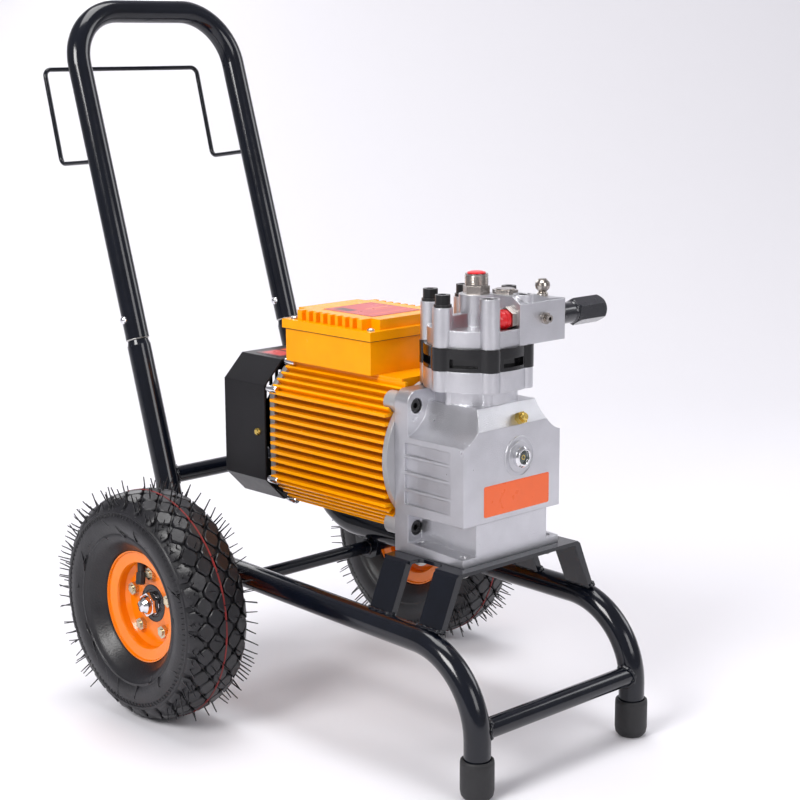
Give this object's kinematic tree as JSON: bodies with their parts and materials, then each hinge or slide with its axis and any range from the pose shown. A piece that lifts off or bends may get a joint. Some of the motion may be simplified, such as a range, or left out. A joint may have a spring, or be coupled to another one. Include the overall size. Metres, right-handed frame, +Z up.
{
  "type": "airless paint sprayer",
  "caption": "Trolley-mounted electric diaphragm pump for airless paint spraying: finned motor, cast pump, lobed head, two pneumatic wheels and a plug-on handle.",
  "frame": {"origin": "middle of the footprint on the floor", "axes": "+Z up, -Y is the front (feet and pump), +Y the rear (wheels and handle), +X to the right seen from the front"},
  "size_m": [0.505, 0.7653, 0.7999],
  "materials": {
    "black_paint": "gloss",
    "orange_paint": "satin",
    "rim_orange": "gloss",
    "cast_alu": "satin",
    "black_plastic": "satin",
    "black_ring": "gloss",
    "rubber": "matte",
    "tyre": "matte",
    "steel": "brushed",
    "black_oxide": "satin",
    "nickel": "polished",
    "chrome": "polished",
    "brass": "satin",
    "copper": "satin",
    "red_plastic": "gloss"
  },
  "bodies": {
    "chassis": {"side_tube_left": "black_paint", "side_tube_right": "black_paint", "handle_tube": "black_paint", "hose_rack": "black_paint", "front_cross_tube": "black_paint", "rear_cross_bar": "black_paint", "axle_rod": "black_paint", "axle_brackets": "black_paint", "motor_bracket": "black_paint", "axle_nuts": "chrome", "bracket_bolts": "steel", "bracket_washers": "steel", "motor_bearings": "steel", "stator_core": "steel", "lid_screws": "steel", "sight_glass": "steel", "rubber_feet": "rubber", "diaphragm": "rubber", "motor_housing": "orange_paint", "terminal_box": "orange_paint", "terminal_lid": "orange_paint", "rear_end_shield": "cast_alu", "front_end_shield": "cast_alu", "pump_housing": "cast_alu", "pump_head": "cast_alu", "stator_windings": "copper", "fan_cover": "black_plastic", "cable_gland": "black_plastic", "fan_cover_screws": "brass", "breather_plug": "brass", "flange_bolts": "black_oxide", "head_bolts": "black_oxide", "diaphragm_ring": "black_ring", "inlet_fitting": "nickel", "valve_plug": "nickel", "outlet_nipple": "nickel", "return_nipple": "nickel", "bleed_fitting": "nickel", "outlet_cap": "red_plastic"},
    "wheel_left": {"tyre_left": "tyre", "inner_tube_left": "rubber", "rim_outer_left": "rim_orange", "rim_inner_left": "rim_orange", "rim_bolts_left": "steel", "wheel_bearings_left": "steel"},
    "wheel_right": {"tyre_right": "tyre", "inner_tube_right": "rubber", "rim_outer_right": "rim_orange", "rim_inner_right": "rim_orange", "rim_bolts_right": "steel", "wheel_bearings_right": "steel"},
    "rotor": {"motor_shaft": "steel", "rotor_core": "steel", "eccentric_bearing": "steel", "cooling_fan": "black_plastic"},
    "piston_body": {"piston": "steel"},
    "knob": {"pressure_knob": "black_ring"},
    "snap_left": {"snap_button_left": "chrome"},
    "snap_right": {"snap_button_right": "chrome"},
    "plug": {"inlet_plug": "red_plastic"}
  },
  "joints": [
    {"name": "wheel_left_spin", "type": "hinge", "parent": "chassis", "child": "wheel_left", "pos_m": [-0.2105, 0.05449, 0.13], "axis": [1, 0, 0], "continuous": true},
    {"name": "wheel_right_spin", "type": "hinge", "parent": "chassis", "child": "wheel_right", "pos_m": [0.2105, 0.05449, 0.13], "axis": [1, 0, 0], "continuous": true},
    {"name": "motor_spin", "type": "hinge", "parent": "chassis", "child": "rotor", "pos_m": [0, -0.09481, 0.312], "axis": [0, 1, 0], "continuous": true},
    {"name": "piston_stroke", "type": "slide", "parent": "chassis", "child": "piston_body", "axis": [0, 0, 1], "range_m": [0, 0.004]},
    {"name": "pressure_knob_turn", "type": "hinge", "parent": "chassis", "child": "knob", "pos_m": [0.13, -0.27681, 0.461], "axis": [1, 0, 0], "range_deg": [0, 270]},
    {"name": "snap_left_press", "type": "slide", "parent": "chassis", "child": "snap_left", "axis": [1, 0, 0], "range_m": [0, 0.0058], "stiffness_N_per_m": 900, "springref_m": -0.003},
    {"name": "snap_right_press", "type": "slide", "parent": "chassis", "child": "snap_right", "axis": [1, 0, 0], "range_m": [0, 0.0058], "stiffness_N_per_m": 900, "springref_m": -0.003},
    {"name": "inlet_plug_pull", "type": "slide", "parent": "chassis", "child": "plug", "axis": [0, 0, 1], "range_m": [0, 0.015]}
  ]
}
